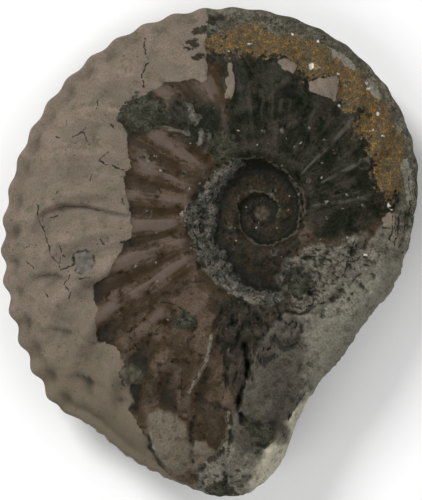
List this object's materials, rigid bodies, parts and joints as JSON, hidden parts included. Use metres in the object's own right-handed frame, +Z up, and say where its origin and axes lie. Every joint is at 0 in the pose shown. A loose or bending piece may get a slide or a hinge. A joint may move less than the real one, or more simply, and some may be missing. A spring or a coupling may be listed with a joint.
{
  "type": "ammonite fossil",
  "caption": "Coiled ammonite fossil lying on its flank, with curved ribs, a beaded keel, an open umbilicus and a broken, stone-filled end.",
  "frame": {"origin": "middle of the bounding box, on the plane that the fossil lies on", "axes": "+Z up through the flat of the coil, +Y along the longest extent, away from the broken end, +X to the right as seen from above"},
  "size_m": [0.0792, 0.0928, 0.0226],
  "materials": {
    "fossil_stone": "satin"
  },
  "bodies": {
    "root": {"ammonite": "fossil_stone"}
  },
  "joints": []
}
